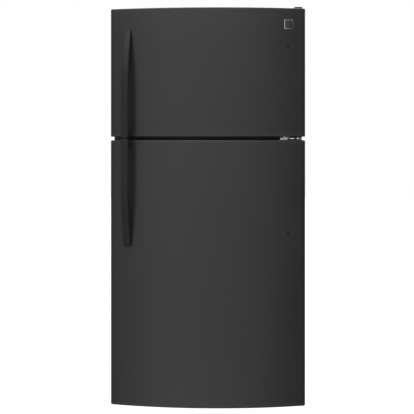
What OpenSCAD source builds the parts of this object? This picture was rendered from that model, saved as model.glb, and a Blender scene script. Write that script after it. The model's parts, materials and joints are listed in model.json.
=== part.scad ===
// Top freezer refrigerator with two contoured doors hinged on the right.
// Millimetres. The origin is on the floor under the middle of the overall box,
// the doors face -Y, +X is to the right and +Z is up.

/* [Cabinet] */
// Width of both doors
door_w = 832; // [700:1:900]
// Height of the cabinet's top
case_top = 1718; // [1450:1:2060]
// Depth of the cabinet without its doors
case_d = 734; // [610:1:880]
// How far each cabinet side sits in from the door's side
case_inset = 2; // [1:0.5:6]
// Thickness of the steel sheet
sheet = 1.2; // [0.8:0.1:2]
// Thickness of the insulated side walls
side_wall = 50; // [42:1:62]
// Thickness of the insulated top
top_wall = 55; // [45:1:68]
// Thickness of the insulated back
back_wall = 70; // [58:1:84]
// Thickness of the plastic liners
liner_t = 2.5; // [1.5:0.5:4]
// Height of the middle of the gap between the doors
split_h = 1166; // [1000:1:1400]
// Height of the insulated wall between the compartments
mullion_h = 60; // [54:1:72]
// Height of the fridge compartment's floor
floor_h = 95; // [85:1:114]
// Height of the cabinet's underside
deck_h = 40; // [36:1:48]
// Corner radius of the compartments
liner_r = 18; // [12:1:24]

/* [Machine compartment] */
// Depth of the machine compartment
machine_d = 190; // [180:1:228]
// Height of the machine compartment's roof
machine_top = 262; // [250:1:300]
// Radius of the compressor's shell
compressor_r = 72; // [60:1:78]

/* [Doors] */
// Thickness of a door at its side edges
door_t = 50.5; // [46:0.5:60]
// How far the door's middle stands out past its side edges
door_crown = 22.5; // [15:0.5:28]
// Depth of the space that the gasket fills
gasket_t = 12; // [10:0.5:14]
// Width of the gasket
gasket_w = 16; // [13:1:18]
// Gap between the two doors
door_gap = 14.6; // [13:0.1:18]
// Height of the lower door's bottom edge
door_bottom = 28; // [26:1:33]
// How far the upper door rises past the cabinet's top
door_over = 2; // [0:0.5:4]
// Thickness of the door's end caps
cap_h = 14; // [12:1:17]
// How far the door liner's raised ring reaches into the cabinet
dyke_d = 70; // [58:1:80]
// Width of the raised ring's bars
dyke_w = 26; // [22:1:31]
// Clearance between the raised ring and the compartment's walls
dyke_gap = 14; // [12:1:17]

/* [Hinges] */
// Distance of the hinge pins from the door's side
pin_in = 28; // [26:1:32]
// Distance of the hinge pins from the door's front edge
pin_back = 27; // [25:1:30]
// Radius of the hinge pins
pin_r = 5; // [4:0.5:6]
// Radial clearance of running fits
fit = 0.05; // [0.02:0.01:0.1]
// Thickness of the hinge brackets
bracket_t = 4; // [3:0.5:5]

/* [Handles] */
// Width of a handle's front face
handle_w = 32; // [26:1:38]
// Distance of the handles' middle from the door's side
handle_in = 76; // [58:1:82]
// How far the handles' front stands out past the door's side edges
handle_reach = 79.5; // [70:0.5:92]
// Length of a handle
handle_len = 459; // [390:1:520]
// Thickness of a handle's bar
handle_t = 17; // [14:1:20]
// Height of a handle's mounting post
post_h = 24; // [20:1:29]
// How far the handle stops short of the gap's middle
handle_gap = 4; // [3:0.5:5]

/* [Interior] */
// Depth of the clear space between the shelves and the compartment's mouth
shelf_back = 146; // [140:1:160]
// Thickness of the shelf glass
glass_t = 4; // [3:0.5:5]
// Heights of the fridge shelves
shelf_z = [545, 745, 930];
// Height of the crisper drawers
crisper_h = 205; // [180:1:212]
// How far the crisper drawers sit back from the shelves' front
crisper_back = 30; // [20:1:45]
// Height of the freezer shelf above the freezer's floor
freezer_shelf_up = 235; // [200:1:280]
// Wall thickness of drawers and bins
wall = 2.5; // [2:0.25:3.5]
// Height of the control housing
control_h = 44; // [38:1:48]

/* [Feet] */
// Radius of the rear rollers
roller_r = 19; // [17:0.5:20]
// Radius of the levelling foot
foot_r = 19; // [16:1:22]

/* [Hidden] */

e = 1;                                    // how far a cutter runs past the face that it cuts
half = door_w / 2;
case_half = half - case_inset;
in_half = case_half - side_wall;          // half the width of the compartments

back_y = (case_d + gasket_t + door_t + handle_reach) / 2;
front_y = back_y - case_d;                // cabinet's front face
door_in_y = front_y - gasket_t;           // door's inner face
door_edge_y = door_in_y - door_t;         // door's front at its side edges
crown_y = door_edge_y - door_crown;       // door's front at its middle
handle_y = door_edge_y - handle_reach;    // front of the handles
dyke_y = door_in_y + dyke_d;              // inner end of the door's raised ring
back_in = back_y - back_wall;             // compartments' back wall
machine_y = back_y - machine_d;           // machine compartment's bulkhead

fridge_top = split_h - mullion_h / 2;
freezer_floor = split_h + mullion_h / 2;
freezer_top = case_top - top_wall;
fridge_door_z = [door_bottom, split_h - door_gap / 2];
freezer_door_z = [split_h + door_gap / 2, case_top + door_over];
lip_g = 20;                               // width of the liners' front lips
rail_half = in_half + lip_g + 1;          // half the width between the case's front lips
rail_d = 18;                              // depth of the rail between the compartments
fridge_open = [floor_h, fridge_top];
freezer_open = [freezer_floor, freezer_top];

crown_r = (half * half + door_crown * door_crown) / (2 * door_crown);
front_r = 10;                             // rounding of the door's front edges
rear_r = 14;                              // rounding of the door's rear edges
pin = [half - pin_in, door_edge_y + pin_back];
step_y = machine_y - 48;                  // fridge liner's step over the machine compartment
step_z = machine_top + 48;

shelf_y = front_y + shelf_back;           // front of the shelves
duct_d = 28;
duct_y = back_in - duct_d;                // front of the air duct
shelf_end = duct_y - 4;
crisper_z = floor_h + 4;
cover_z = crisper_z + crisper_h + 14;     // underside of the crisper cover
crisper_w = in_half - 16;
crisper_y = shelf_y + crisper_back;       // front of the crisper drawers
crisper_d = step_y - crisper_y - 8;
cover_t = 16;
shelf_half = in_half - 2;
shelf_h = 14;
control_z = fridge_top - control_h;
control_front = dyke_y + 10;
evap_y = back_in - 76;                    // evaporator cover's front face
evap_d = 60;
freezer_shelf_z = freezer_floor + freezer_shelf_up;
dial_x = 90;
dial_y = control_front + 42;
dial_r = 21;

bin_half = in_half - dyke_gap - dyke_w - 1;
bin_d = 112;                              // how far the door bins reach back from the door's face
dairy_z = fridge_open[1] - 171;           // dairy lid's pivot height
dairy_h = 84;
dairy_d = 84;
dairy_half = bin_half - 6;

leg_x = case_half - 46;
leg_y = front_y + 62;
roller_x = case_half - 58;
roller_y = back_y - 54;

compressor_x = case_half - 214;
compressor_y = machine_y + machine_d / 2;
fan_x = 34;                               // condenser fan's middle
fan_z = deck_h + 108;
condenser_x1 = fan_x - 40;                // condenser's end at the fan
line_y = machine_y + 84;                  // refrigerant lines' plane

// ---- helpers ----

module block(lo, hi) translate(lo) cube(hi - lo);

// Extrudes a drawing of the X-Z plane from y0 to y1.
module along_y(y0, y1) translate([0, y1, 0]) rotate([90, 0, 0]) linear_extrude(y1 - y0) children();

// Extrudes a drawing of the Y-Z plane from x0 to x1.
module along_x(x0, x1) translate([x0, 0, 0]) rotate([90, 0, 90]) linear_extrude(x1 - x0) children();

module along_z(z0, z1) translate([0, 0, z0]) linear_extrude(z1 - z0) children();

// Rectangle from lo to hi with corners of radius r.
module round_rect(lo, hi, r) {
    translate([lo.x + r, lo.y]) square([hi.x - lo.x - 2 * r, hi.y - lo.y]);
    translate([lo.x, lo.y + r]) square([hi.x - lo.x, hi.y - lo.y - 2 * r]);
    for (x = [lo.x + r, hi.x - r], y = [lo.y + r, hi.y - r])
        translate([x, y]) circle(r, $fn = 32);
}

module rod_x(x0, x1, y, z, r) translate([x0, y, z]) rotate([0, 90, 0]) cylinder(h = x1 - x0, r = r, $fn = 32);
module rod_y(x, y0, y1, z, r) translate([x, y1, z]) rotate([90, 0, 0]) cylinder(h = y1 - y0, r = r, $fn = 32);
module rod_z(x, y, z0, z1, r) translate([x, y, z0]) cylinder(h = z1 - z0, r = r, $fn = 32);

// Open-topped tray with walls t thick; the cavity's floor is at lo.z + t.
module tray(lo, hi, t, r = 10) {
    difference() {
        along_z(lo.z, hi.z) round_rect([lo.x, lo.y], [hi.x, hi.y], r);
        along_z(lo.z + t, hi.z + e) round_rect([lo.x + t, lo.y + t], [hi.x - t, hi.y - t], r - t);
    }
}

// ---- cabinet ----

module opening_front(open, g) {
    round_rect([-in_half - g, open[0] - g], [in_half + g, open[1] + g], liner_r + g);
}

module fridge_side(g) {
    difference() {
        translate([front_y - e, floor_h - g]) square([back_in + g - front_y + e,
                fridge_top - floor_h + 2 * g]);
        translate([step_y + g, floor_h - g - e]) square([back_in - step_y + e, step_z - floor_h + e]);
    }
}

module fridge_cavity(g) {
    intersection() {
        along_y(front_y - e, back_in + g + e) opening_front(fridge_open, g);
        along_x(-in_half - g - e, in_half + g + e) fridge_side(g);
    }
}

module freezer_cavity(g) along_y(front_y - e, back_in + g) opening_front(freezer_open, g);

module outer_case() color("#26272a") {
    difference() {
        along_y(front_y, back_y) difference() {
            translate([-case_half, deck_h]) square([2 * case_half, case_top - deck_h]);
            translate([-rail_half, deck_h - e]) square([2 * rail_half, e + freezer_top + lip_g + 1 - deck_h]);
        }
        along_y(front_y + sheet, back_y + e) translate([-case_half + sheet, deck_h - e])
            square([2 * (case_half - sheet), case_top - sheet - deck_h + e]);
        block([-case_half + sheet, front_y - e, deck_h - e], [case_half - sheet, back_y, floor_h - 20]);
    }
}

module back_panel() color("#8d9094")
    difference() {
        block([-case_half + sheet, back_y - sheet, machine_top], [case_half - sheet, back_y,
                case_top - sheet]);
        for (x = [-1, 1] * (case_half - 14), z = [machine_top + 14 : 260 : case_top - 20])
            rod_y(x, back_y - sheet - e, back_y + e, z, 2);
    }

module base_frame() color("#3a3c3f") {
    inner = case_half - sheet;
    t = 2;
    boss_r = 12;
    difference() {
        union() {
            block([-inner, front_y + sheet, deck_h], [inner, back_y, deck_h + t]);
            block([-inner, front_y, deck_h], [inner, front_y + sheet, floor_h - 20]);
            block([-inner, machine_y, deck_h], [inner, machine_y + t, machine_top]);
            block([-inner, machine_y, machine_top - t], [inner, back_y, machine_top]);
            for (s = [-1, 1])
                block([min(s * inner, s * (inner - t)), machine_y, deck_h],
                      [max(s * inner, s * (inner - t)), back_y, machine_top]);
            for (s = [-1, 1]) rod_z(s * leg_x, leg_y, deck_h - 10, deck_h + 16, boss_r);
            for (s = [-1, 1], k = [-1, 1])
                along_x(s * roller_x + k * 16 - 1.5, s * roller_x + k * 16 + 1.5) {
                    translate([roller_y, roller_r + 3]) circle(12, $fn = 32);
                    translate([roller_y - 12, roller_r + 3]) square([24, deck_h - roller_r - 3]);
                }
        }
        for (s = [-1, 1]) rod_z(s * leg_x, leg_y, deck_h - 10 - e, deck_h + 16 + e, 6);
        for (s = [-1, 1]) rod_x(s * roller_x - 22, s * roller_x + 22, roller_y, roller_r, 4);
        for (s = [-1, 1]) rod_z(pin.x - 26 + 26 * s, front_y + 20, deck_h - e, deck_h + t + e, 3);
    }
}

module cabinet_foam() color("#d9c98c") {
    t = 2;
    difference() {
        block([-case_half + sheet, front_y + sheet, deck_h + t], [case_half - sheet, back_y - sheet,
                case_top - sheet]);
        fridge_cavity(liner_t);
        freezer_cavity(liner_t);
        block([-case_half, machine_y, 0], [case_half, back_y + e, machine_top]);
        along_y(front_y, front_y + liner_t) opening_front(fridge_open, lip_g);
        along_y(front_y, front_y + liner_t) opening_front(freezer_open, lip_g);
        block([-rail_half, front_y, fridge_top + lip_g], [rail_half, front_y + rail_d,
                freezer_floor - lip_g]);
        for (s = [-1, 1]) rod_z(s * leg_x, leg_y, deck_h, deck_h + 34, 12.5);
    }
}

module freezer_liner() color("#eef0f1")
    difference() {
        union() {
            freezer_cavity(liner_t);
            along_y(front_y, front_y + liner_t) opening_front(freezer_open, lip_g);
        }
        translate([0, -e, 0]) along_y(front_y - e, back_in + e) opening_front(freezer_open, 0);
        block([-half, front_y - 3 * e, freezer_floor - 40], [half, front_y, freezer_top + 40]);
    }

module fridge_liner() color("#eef0f1") {
    difference() {
        union() {
            fridge_cavity(liner_t);
            along_y(front_y, front_y + liner_t) opening_front(fridge_open, lip_g);
        }
        fridge_cavity(0);
        block([-half, front_y - 3 * e, floor_h - 40], [half, front_y, fridge_top + 40]);
    }
    for (s = [-1, 1], z = concat(shelf_z, [cover_z])) block(
        [min(s * in_half, s * (in_half - 9)), shelf_y + 6, z - 8],
        [max(s * in_half, s * (in_half - 9)), shelf_end - 6, z - 0.2]);
}

module center_rail() color("#232427") {
    z0 = fridge_top + lip_g + 0.3;
    z1 = freezer_floor - lip_g - 0.3;
    difference() {
        block([-rail_half, front_y, z0], [rail_half, front_y + rail_d, z1]);
        block([-case_half, front_y + 2, z0 + 2], [case_half, front_y + rail_d + e, z1 - 2]);
    }
}

module machine_cover() color("#6d7074") {
    difference() {
        union() {
            block([-case_half + 8, back_y - 1.5, deck_h + 4], [case_half - 8, back_y, machine_top - 4]);
            rod_y(-case_half + 70, back_y - 12, back_y, machine_top - 40, 14);
        }
        for (i = [0 : 11], k = [0, 1])
            block([-290 + 300 * k + i * 20, back_y - 3, deck_h + 50], [-282 + 300 * k + i * 20,
                    back_y + e, deck_h + 150]);
        rod_y(-case_half + 70, back_y - 12 - e, back_y + e, machine_top - 40, 7);
    }
}

module compressor() color("#17181a") translate([compressor_x, compressor_y, deck_h]) {
    rotate_extrude($fn = 64) difference() {
        union() {
            translate([0, 62]) square([compressor_r, 62]);
            translate([0, 124]) scale([compressor_r / 50, 1]) circle(50, $fn = 64);
            translate([0, 62]) scale([compressor_r / 50, 0.8]) circle(50, $fn = 64);
        }
        translate([-2 * compressor_r, 0]) square([2 * compressor_r, 200]);
    }
    translate([0, 0, 92]) cylinder(h = 6, r = compressor_r + 3, $fn = 64);
    difference() {
        block([-80, -58, 18], [80, 58, 24]);
        for (x = [-68, 68], y = [-46, 46]) rod_z(x, y, 10, 28, 7);
    }
    rod_z(-30, line_y - compressor_y, 165, 186, 5);
}

module compressor_grommets() color("#202020")
    for (x = [-68, 68], y = [-46, 46]) translate([compressor_x + x, compressor_y + y, deck_h + 2]) {
        cylinder(h = 16, r = 11, $fn = 32);
        cylinder(h = 24, r = 7, $fn = 32);
    }

module condenser() color("#1c1d1f") {
    x0 = -case_half + 60;
    x1 = condenser_x1;
    y0 = machine_y + 24;
    for (i = [0 : 13]) let (x = x0 + 8 + i * (x1 - x0 - 20) / 13)
        difference() {
            block([x, y0, deck_h + 36], [x + 1, y0 + 120, machine_top - 40]);
            for (y = [22, 60, 98], z = [22, 66, 110, 150]) rod_x(x - e, x + 2 + e, y0 + y,
                    deck_h + 36 + z, 4);
        }
    for (y = [22, 60, 98], z = [22, 66, 110, 150]) rod_x(x0, x1, y0 + y, deck_h + 36 + z, 4);
}

module condenser_fan_motor() color("#2b2c2e") {
    rod_x(fan_x - 30, fan_x, compressor_y, fan_z, 22);
    difference() {
        block([fan_x - 26, compressor_y - 66, deck_h + 2], [fan_x - 24, compressor_y + 66, fan_z + 64]);
        for (y = [-46, 46], z = [-46, 46]) rod_x(fan_x - 30, fan_x - 20, compressor_y + y, fan_z + z, 14);
    }
    rod_x(fan_x, fan_x + 18, compressor_y, fan_z, 3);
}

// Fan blade with its bore at the origin, turning about Z.
module fan_blade(r, bore) {
    difference() {
        union() {
            cylinder(h = 14, r = r * 0.26, $fn = 32);
            for (a = [0 : 72 : 359]) rotate([0, 0, a]) translate([r * 0.18, 0, 7]) rotate([28, 0, 0])
                translate([0, -r * 0.22, -0.8]) cube([r * 0.8, r * 0.44, 1.6]);
        }
        translate([0, 0, -e]) cylinder(h = 16, r = bore, $fn = 32);
    }
}

module condenser_fan_blade() color("#3c3e40")
    translate([fan_x + 3, compressor_y, fan_z]) rotate([0, 90, 0]) fan_blade(60, 3 + fit);

module refrigerant_lines() color("#b06a3c") {
    x = compressor_x - 30;
    x1 = condenser_x1 + 10;
    top = machine_top - 14;
    tube_z = deck_h + 36 + 150;
    rod_z(x, line_y, deck_h + 186, top, 4);
    rod_x(x1 - 4, x + 4, line_y, top - 4, 4);
    rod_x(x1 + 20, x1 + 110, line_y, top - 4, 9);
    rod_z(x1, line_y, tube_z - 4, top, 4);
    rod_x(condenser_x1, x1 + 4, line_y, tube_z, 4);
}

module evaporator() color("#b9bcc0") {
    x1 = 280;
    y0 = evap_y + 14;
    difference() {
        union() {
            for (i = [0 : 27]) let (x = -x1 + 4 + i * (2 * x1 - 8) / 27)
                block([x - 0.4, y0, freezer_floor + 46], [x + 0.4, y0 + evap_d - 12, freezer_floor + 210]);
        }
        for (y = [12, 36], z = [66, 106, 146, 186]) rod_x(-x1 - e, x1 + e, y0 + y, freezer_floor + z, 4);
    }
    for (y = [12, 36], z = [66, 106, 146, 186]) rod_x(-x1, x1, y0 + y, freezer_floor + z, 4);
}

module defrost_heater() color("#c9c4ba") {
    rod_x(-250, 250, evap_y + 38, freezer_floor + 26, 5);
    for (s = [-1, 1]) rod_x(s * 262 - 12, s * 262 + 12, evap_y + 38, freezer_floor + 26, 8);
}

module evaporator_cover() color("#e6e8ea") {
    t = 3;
    difference() {
        union() {
            along_y(evap_y, evap_y + t) opening_front(freezer_open, -1);
            block([-150, evap_y - 16, freezer_floor + 250], [150, evap_y, freezer_floor + 400]);
        }
        block([-147, evap_y - 13, freezer_floor + 253], [147, evap_y + t + e, freezer_floor + 397]);
        for (i = [0 : 9], k = [0 : 1])
            block([-135 + i * 28, evap_y - 20, freezer_floor + 268 + k * 66],
                  [-117 + i * 28, evap_y - 10, freezer_floor + 316 + k * 66]);
        for (i = [0 : 15])
            block([-300 + i * 38, evap_y - e, freezer_floor + 14], [-276 + i * 38, evap_y + t + e,
                    freezer_floor + 30]);
    }
}

module evaporator_fan_motor() color("#c3c6c9") {
    z = freezer_floor + 325;
    rod_y(0, evap_y + 34, evap_y + 64, z, 22);
    rod_y(0, evap_y + 14, evap_y + 34, z, 3);
    block([-70, evap_y + 62, z - 8], [70, evap_y + 65, z + 8]);
}

module evaporator_fan_blade() color("#f0f0f0")
    translate([0, evap_y + 32, freezer_floor + 325]) rotate([90, 0, 0]) fan_blade(52, 3 + fit);

module drain_pan() color("#2a2b2d")
    tray([-case_half + 50, machine_y + 14, deck_h + 3], [fan_x - 34, back_y - 20, deck_h + 30], 2);

module air_duct() color("#e4e6e8") {
    z0 = cover_z + 50;
    z1 = control_z - 6;
    difference() {
        along_z(z0, z1) round_rect([-95, duct_y], [95, back_in + 20], 8);
        block([-100, back_in, z0 - e], [100, back_in + 30, z1 + e]);
        block([-88, duct_y + wall, z0 + wall], [88, back_in + e, z1 - wall]);
        for (z = shelf_z, i = [0 : 5])
            block([-70 + i * 25, duct_y - e, z + 40], [-55 + i * 25, duct_y + wall + e, z + 58]);
    }
}

module control_housing() color("#e9ebed") {
    y1 = control_front + 290;
    difference() {
        along_y(control_front, y1) round_rect([-230, control_z], [230, fridge_top + 20], 12);
        block([-240, control_front - e, fridge_top - 0.2], [240, y1 + e, fridge_top + 30]);
        block([-226, control_front + wall, control_z + wall], [226, y1 - wall, fridge_top + e]);
        for (s = [-1, 1]) rod_z(s * dial_x, dial_y, control_z - e, control_z + wall + e, 5 + fit);
        block([-110, control_front + 120, control_z - e], [110, control_front + 230, control_z + wall + e]);
        rod_y(170, control_front - e, control_front + wall + e, control_z + 26, 4 + fit);
    }
}

module light_lens() color("#f6f7f2")
    along_z(control_z - 5, control_z + 1)
        round_rect([-109, control_front + 121], [109, control_front + 229], 8);

module dial(x) translate([x, dial_y, control_z]) {
    difference() {
        translate([0, 0, -15]) cylinder(h = 14.5, r = dial_r, $fn = 48);
        for (s = [-1, 1]) translate([0, s * 14, -15.5]) block([-dial_r, min(0, s * 12), 0], [dial_r,
                max(0, s * 12), 10]);
    }
    cylinder(h = 9, r = 5, $fn = 32);
    translate([0, 0, -1]) cylinder(h = 1.5, r = 5, $fn = 32);
}

module fridge_dial() color("#dfe1e3") dial(-dial_x);
module freezer_dial() color("#dfe1e3") dial(dial_x);

module freezer_shelf() color("#f2f3f4") {
    y1 = evap_y - 22;
    z = freezer_shelf_z;
    n = 18;
    for (i = [0 : n]) rod_y(-shelf_half + 12 + i * (2 * shelf_half - 24) / n, shelf_y, y1, z, 2);
    for (y = [shelf_y + 4, (shelf_y + y1) / 2, y1 - 4]) rod_x(-shelf_half, shelf_half, y, z - 4, 3);
    block([-shelf_half, shelf_y - 3, z - 8], [shelf_half, shelf_y, z + 4]);
}

module shelf_frames() color("#eceeef")
    for (z = shelf_z) difference() {
        block([-shelf_half, shelf_y, z], [shelf_half, shelf_end, z + shelf_h]);
        block([-shelf_half + 14, shelf_y + 22, z - e], [shelf_half - 14, shelf_end - 14, z + shelf_h + e]);
        block([-shelf_half + 8, shelf_y + 14, z + shelf_h - glass_t - 2], [shelf_half - 8,
                shelf_end - 8, z + shelf_h - 2]);
    }

module shelf_glass() color("#bcd6d2")
    for (z = concat(shelf_z, [cover_z + cover_t - shelf_h]))
        block([-shelf_half + 8.2, shelf_y + 14.2, z + shelf_h - glass_t - 1.9], [shelf_half - 8.2,
                shelf_end - 8.2, z + shelf_h - 2.1]);

module crisper_cover() color("#eceeef")
    difference() {
        union() {
            block([-shelf_half, shelf_y, cover_z], [shelf_half, shelf_end, cover_z + cover_t]);
            block([-9, shelf_y + 8, crisper_z - 3], [9, step_y - 8, cover_z]);
        }
        for (s = [-1, 1]) block([min(s * 14, s * (shelf_half - 14)), shelf_y + 26, cover_z - e],
            [max(s * 14, s * (shelf_half - 14)), shelf_end - 14, cover_z + cover_t + e]);
        block([-shelf_half + 8, shelf_y + 14, cover_z + cover_t - glass_t - 2],
              [shelf_half - 8, shelf_end - 8, cover_z + cover_t - 2]);
        block([-shelf_half + 9, shelf_y + 14, cover_z + cover_t - 3], [shelf_half - 9,
                shelf_end - 9, cover_z + cover_t + e]);
    }

// Crisper drawer on side s: -1 left, 1 right.
module crisper(s) {
    x0 = s > 0 ? 12 : -crisper_w;
    x1 = s > 0 ? crisper_w : -12;
    top = crisper_z + crisper_h;
    difference() {
        union() {
            tray([x0, crisper_y + 4, crisper_z], [x1, crisper_y + crisper_d, top], wall);
            block([x0, crisper_y, crisper_z], [x1, crisper_y + 6, top]);
            block([x0 + 20, crisper_y - 12, top - 24], [x1 - 20, crisper_y + 2, top - 18]);
        }
        block([x0 + 90, crisper_y - 8, top - 19], [x1 - 90, crisper_y + 4, top - 10]);
    }
}

module crisper_left() color("#dfe8ea") crisper(-1);
module crisper_right() color("#dfe8ea") crisper(1);

// Humidity slide under the crisper cover's front bar; it slides along X.
module humidity_slide(s) translate([s * (in_half / 2), 0, 0]) {
    block([-34, shelf_y + 2, cover_z - 4], [34, shelf_y + 20, cover_z - 0.3]);
    block([-8, shelf_y - 5, cover_z - 4], [8, shelf_y + 2, cover_z - 0.3]);
}

module humidity_slide_left() color("#c9ced1") humidity_slide(-1);
module humidity_slide_right() color("#c9ced1") humidity_slide(1);

module ice_bin() color("#e8edf0")
    tray([in_half - 190, shelf_y + 20, freezer_shelf_z + 3], [in_half - 12, evap_y - 60,
            freezer_shelf_z + 120], wall);

module base_grille() color("#1e1f21")
    difference() {
        block([-case_half + 6, front_y + 6, 14], [case_half - 100, front_y + 9, deck_h]);
        for (i = [0 : 19]) block([-case_half + 30 + i * 34, front_y, 20], [-case_half + 54 + i * 34,
                front_y + 12, 26]);
    }

module levelling_leg(s) translate([s * leg_x, leg_y, 0]) {
    cylinder(h = 8, r = foot_r, $fn = 48);
    translate([0, 0, 7]) cylinder(h = 9, r = 12, $fn = 6);
    translate([0, 0, 14]) cylinder(h = deck_h + 10, r = 6 - fit, $fn = 32);
}

module levelling_leg_left() color("#1b1c1d") levelling_leg(-1);
module levelling_leg_right() color("#1b1c1d") levelling_leg(1);

module roller(s) {
    rod_x(s * roller_x - 12, s * roller_x + 12, roller_y, roller_r, roller_r);
    rod_x(s * roller_x - 20, s * roller_x + 20, roller_y, roller_r, 4 - fit);
}

module roller_left() color("#2d2e30") roller(-1);
module roller_right() color("#2d2e30") roller(1);

// ---- hinges ----

hinge_x0 = half - 99;
hinge_x1 = half - 8;
flange_x1 = pin.x - 22;                   // the flanges end where the doors' corners swing past

module top_hinge() color("#a9adb1") {
    z = case_top + door_over + 1;
    difference() {
        union() {
            block([hinge_x0 + 30, pin.y - 2, z], [hinge_x1 - 4, front_y + 90, z + bracket_t]);
            rod_z(pin.x, pin.y, z, z + bracket_t, 14);
            block([hinge_x0 + 30, front_y + 12, case_top], [hinge_x1 - 4, front_y + 90, z + e]);
        }
        for (x = [-14, 14], y = [30, 66]) rod_z(pin.x - 20 + x, front_y + y, case_top - e,
                z + bracket_t + e, 3);
    }
    rod_z(pin.x, pin.y, z - 11, z, pin_r);
}

module top_hinge_cover() color("#1d1e20") {
    z = case_top + door_over + 1;
    z1 = z + 14;                          // top over the screws
    nose_z = z + bracket_t + 3.5;         // top over the pin, lower
    mouth_z = z + bracket_t + 1;          // the bracket comes out under this height
    difference() {
        along_z(case_top + 0.3, z1) round_rect([hinge_x0 + 20, front_y - 2], [half - 4, front_y + 100], 8);
        along_z(case_top - e, mouth_z) round_rect([hinge_x0 + 22, front_y - 2 - 9], [half - 6,
                front_y + 98], 6);
        along_z(mouth_z - e, z1 - 2) round_rect([hinge_x0 + 22, front_y], [half - 6, front_y + 98], 6);
    }
    difference() {
        along_z(z + bracket_t + 0.5, nose_z) round_rect([pin.x - 17, pin.y - 17], [half - 10,
                front_y + 6], 7);
        along_z(z, nose_z - 2) round_rect([pin.x - 15, pin.y - 15], [half - 12, front_y + 8], 5);
    }
}

module mid_hinge() color("#c4c7ca") {
    z = split_h - bracket_t / 2;
    difference() {
        union() {
            block([hinge_x0, front_y - 3, split_h - 9.5], [flange_x1, front_y, split_h + 9.5]);
            block([hinge_x0 + 36, pin.y - 2, z], [hinge_x1 - 4, front_y - 1, z + bracket_t]);
            rod_z(pin.x, pin.y, z, z + bracket_t, 14);
        }
        for (x = [14, 34]) rod_y(hinge_x0 + x, front_y - 3 - e, front_y + e, split_h + 5.4, 2);
    }
    rod_z(pin.x, pin.y, z - 16, z + bracket_t + 16, pin_r);
}

module bottom_hinge() color("#a9adb1") {
    z = door_bottom - 2 - bracket_t;
    block([hinge_x0, pin.y - 2, z], [hinge_x1, front_y + 40, z + bracket_t]);
    rod_z(pin.x, pin.y, z, z + bracket_t, 14);
    block([hinge_x0, front_y - 3, z], [flange_x1, front_y, floor_h - 24]);
    rod_z(pin.x, pin.y, z, z + bracket_t + 13, pin_r);
}

module hinge_screws() color("#9da1a5") {
    z = case_top + door_over + 1 + bracket_t;
    for (x = [-14, 14], y = [30, 66]) translate([pin.x - 20 + x, front_y + y, z]) {
        cylinder(h = 3, r = 5.5, $fn = 6);
        translate([0, 0, -6]) cylinder(h = 6, r = 3 - fit, $fn = 24);
    }
}

// Door switch plunger, held in by the closed lower door; it slides along Y.
module fridge_switch() color("#f4f4f2") {
    rod_y(170, dyke_y + 0.5, control_front + 24, control_z + 26, 4);
    rod_y(170, control_front + wall + 8, control_front + 14, control_z + 26, 7);
}

// ---- doors ----

// Plan of a door, set in by g at the front and the sides.
module door_plan(g) {
    w = half - g;
    fr = front_r - g;
    rr = rear_r - g;
    big = crown_r - g;
    cy = crown_y + crown_r;
    small_y = cy - sqrt((big - fr) * (big - fr) - (w - fr) * (w - fr));
    tangent_x = (w - fr) * big / (big - fr);
    intersection() {
        translate([0, cy]) circle(big, $fn = 720);
        translate([-tangent_x, crown_y - e]) square([2 * tangent_x, door_in_y - crown_y + e]);
    }
    translate([-w, small_y]) square([2 * w, door_in_y - rear_r - small_y]);
    translate([-half + rear_r, small_y]) square([2 * (half - rear_r), door_in_y - small_y]);
    for (s = [-1, 1]) {
        translate([s * (w - fr), small_y]) circle(fr, $fn = 48);
        translate([s * (half - rear_r), door_in_y - rear_r]) circle(rr, $fn = 48);
    }
}

// The raised ring of a door's liner, seen from the front and set in by g.
module dyke_ring(open, g) {
    x = in_half - dyke_gap;
    difference() {
        round_rect([-x + g, open[0] + dyke_gap + g], [x - g, open[1] - dyke_gap - g], 14);
        round_rect([-x + dyke_w - g, open[0] + dyke_gap + dyke_w - g], [x - dyke_w + g,
                open[1] - dyke_gap - dyke_w + g], 10);
    }
}

module door_skin(z) along_z(z[0] + cap_h, z[1] - cap_h) difference() {
    door_plan(0);
    door_plan(sheet);
}

// End caps, with blind bushings for the hinge pins at the ends that have one.
module door_caps(z)
    difference() {
        union() {
            along_z(z[0], z[0] + cap_h) door_plan(0);
            along_z(z[1] - cap_h, z[1]) door_plan(0);
        }
        rod_z(pin.x, pin.y, z[0] - e, z[0] + cap_h - 2, pin_r + fit);
        rod_z(pin.x, pin.y, z[1] - cap_h + 2, z[1] + e, pin_r + fit);
    }

module door_foam(z, open) {
    difference() {
        along_z(z[0] + cap_h, z[1] - cap_h) door_plan(sheet);
        block([-half, door_in_y - liner_t, z[0]], [half, door_in_y + e, z[1]]);
    }
    along_y(door_in_y - liner_t - 0.5, dyke_y - liner_t) dyke_ring(open, liner_t);
}

module door_liner(z, open)
    difference() {
        union() {
            block([-half + rear_r, door_in_y - liner_t, z[0] + cap_h], [half - rear_r, door_in_y,
                    z[1] - cap_h]);
            along_y(door_in_y - e, dyke_y) dyke_ring(open, 0);
        }
        along_y(door_in_y - liner_t - e, dyke_y - liner_t) dyke_ring(open, liner_t);
    }

module gasket(open)
    along_y(door_in_y, front_y - 0.3) difference() {
        round_rect([-in_half - 2 - gasket_w, open[0] - 2 - gasket_w], [in_half + 2 + gasket_w,
                open[1] + 2 + gasket_w], 8);
        round_rect([-in_half - 2, open[0] - 2], [in_half + 2, open[1] + 2], 6);
    }

// Door bin: floor, back rim and low front, between the ring's side bars.
module door_bin(z, h) tray([-bin_half, door_in_y + 0.3, z], [bin_half, door_in_y + bin_d, z + h], wall, 12);

// Bowed handle seen from the side. u runs from the free end (0) to the gap end (1).
function bow(u) = door_edge_y - 8 - (handle_reach - 8) * sin(90 * min(1, u / 0.62));
function handle_front(n) = [for (i = [0 : n]) let (u = i / n) [bow(0.07 + 0.93 * u), u]];
function handle_back(n) = [for (i = [n : -1 : 0]) let (u = i / n) [bow(0.07 + 0.93 * u) + handle_t, u]];

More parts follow.
